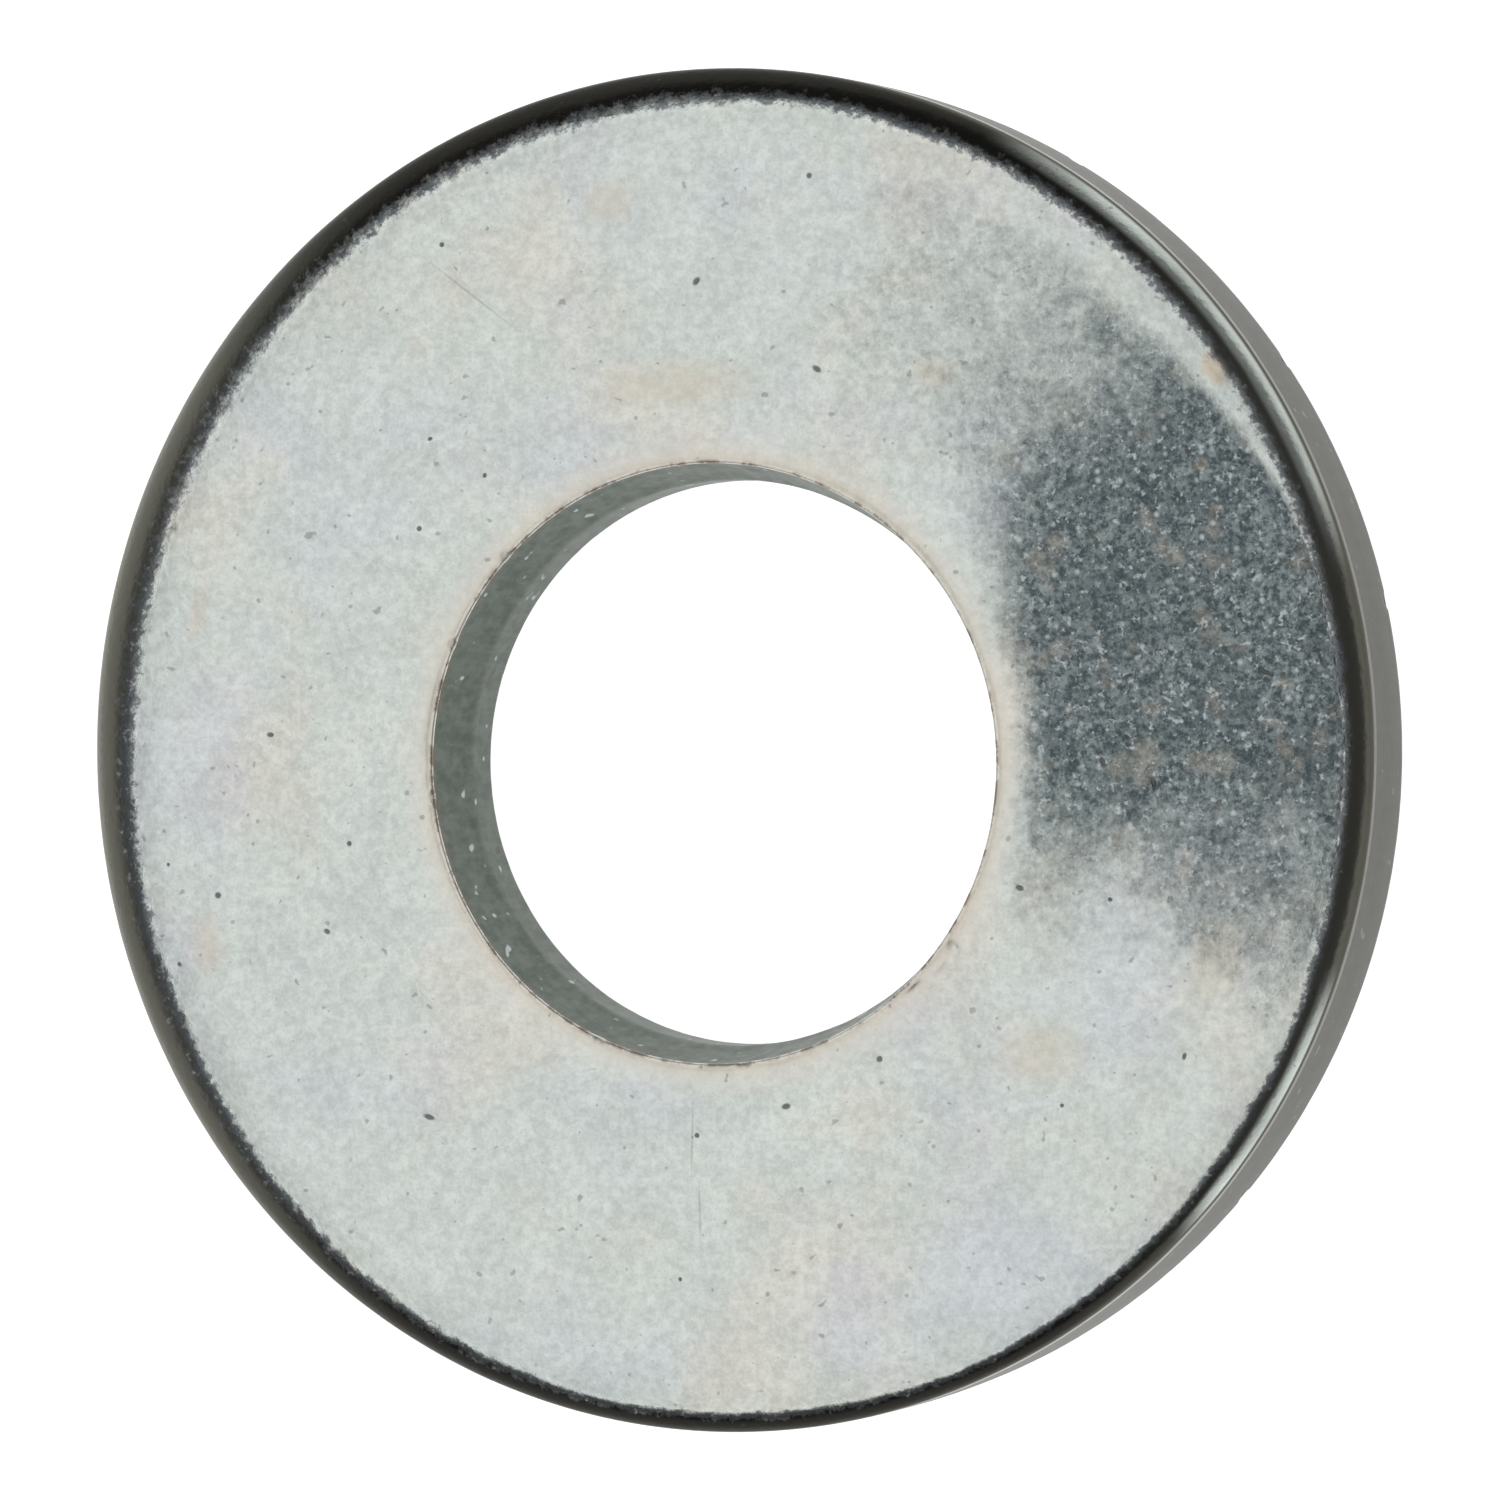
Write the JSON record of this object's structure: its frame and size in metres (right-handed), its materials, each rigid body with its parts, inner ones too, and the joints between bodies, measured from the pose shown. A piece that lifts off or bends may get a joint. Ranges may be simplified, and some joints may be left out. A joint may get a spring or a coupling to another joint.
{
  "type": "flat washer",
  "caption": "Stamped zinc-plated steel flat washer with a wide bearing face and a clearance bore, which spreads the load of a bolt head or nut.",
  "frame": {"origin": "centre of the outer circle, on the back face, which rests on the floor", "axes": "+Z along the washer's axis, from the back face to the front face whose outer edge is rolled; the bore is offset towards -Y"},
  "size_m": [0.0222, 0.0222, 0.0021],
  "materials": {
    "zinc_plated_steel": "bright zinc plating with a clear, faintly mottled passivation, dulled by tumbling; sheared walls satin"
  },
  "bodies": {
    "root": {"washer": "zinc_plated_steel"}
  },
  "joints": []
}
